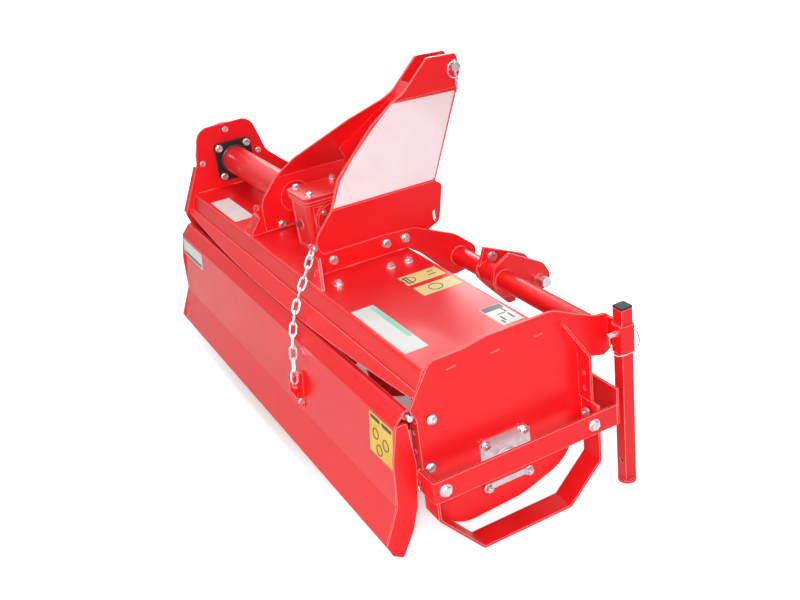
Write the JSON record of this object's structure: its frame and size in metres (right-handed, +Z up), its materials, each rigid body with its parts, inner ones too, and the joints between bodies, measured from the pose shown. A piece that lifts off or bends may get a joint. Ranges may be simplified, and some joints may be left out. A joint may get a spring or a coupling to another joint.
{
  "type": "rotavator",
  "caption": "Tractor-mounted rotavator: PTO gearbox and headstock over a hooded tined rotor, with a side gear case, hinged tailboard on a chain, skids and a parking stand.",
  "frame": {"origin": "on the PTO stub's axis, at the middle of its splines", "axes": "+X to the machine's right, +Y forwards towards the tractor along the PTO stub, +Z up"},
  "size_m": [1.693, 0.7421, 0.8848],
  "materials": {
    "red_paint": "gloss",
    "zinc": "zinc plated",
    "bare_steel": "bare",
    "black_paint": "satin",
    "black_plastic": "matte"
  },
  "bodies": {
    "frame": {"deck": "red_paint", "rear_flap": "red_paint", "side_plate_right": "red_paint", "side_plate_left": "red_paint", "front_stiffener_right": "red_paint", "front_stiffener_left": "red_paint", "gearbox_housing": "red_paint", "gearbox_lid": "red_paint", "gearbox_cover": "red_paint", "trumpet_tube": "red_paint", "trumpet_flange": "black_paint", "gear_case": "red_paint", "mast_plate_right": "red_paint", "mast_plate_left": "red_paint", "mast_web": "red_paint", "top_link_pin": "zinc", "hitch_bracket_right": "red_paint", "hitch_bracket_left": "red_paint", "cross_tube": "red_paint", "lower_clevis_right": "red_paint", "lower_clevis_left": "red_paint", "lower_link_pin_right": "zinc", "lower_link_pin_left": "zinc", "bearing_plate": "zinc", "bearing_strap": "zinc", "skid_right": "red_paint", "skid_left": "red_paint", "guard_bar": "red_paint", "front_guard": "red_paint", "hinge_rod": "zinc", "shackle_pin": "zinc", "stand_sleeve": "red_paint", "stand_pin": "zinc"},
    "rotor": {"rotor_shaft": "red_paint", "tines": "red_paint"},
    "pto": {"pto_shaft": "bare_steel"},
    "tailboard": {"tailboard": "red_paint", "tailboard_end_right": "red_paint", "tailboard_end_left": "red_paint", "chain_lug": "red_paint", "lug_bolt": "zinc"},
    "chain": {"shackle": "zinc", "lifting_chain": "zinc"},
    "stand": {"stand_leg": "red_paint", "stand_cap": "black_plastic"}
  },
  "joints": [
    {"name": "rotor_spin", "type": "hinge", "parent": "frame", "child": "rotor", "pos_m": [0, -0.15, -0.375], "axis": [1, 0, 0], "continuous": true},
    {"name": "pto_spin", "type": "hinge", "parent": "frame", "child": "pto", "pos_m": [0, 0, 0], "axis": [0, 1, 0], "continuous": true},
    {"name": "tailboard_hinge", "type": "hinge", "parent": "frame", "child": "tailboard", "pos_m": [0, -0.366, -0.185], "axis": [-1, 0, 0], "range_deg": [0, 45]},
    {"name": "chain_swing", "type": "hinge", "parent": "frame", "child": "chain", "pos_m": [0.202, -0.289, -0.008], "axis": [-1, 0, 0], "range_deg": [0, 27]},
    {"name": "stand_slide", "type": "slide", "parent": "frame", "child": "stand", "axis": [0, 0, 1], "range_m": [0, 0.336]}
  ],
  "couplings": [
    {"joint": "pto_spin", "follows": "rotor_spin", "ratio": -2.7},
    {"joint": "chain_swing", "follows": "tailboard_hinge", "ratio": 0.6}
  ]
}
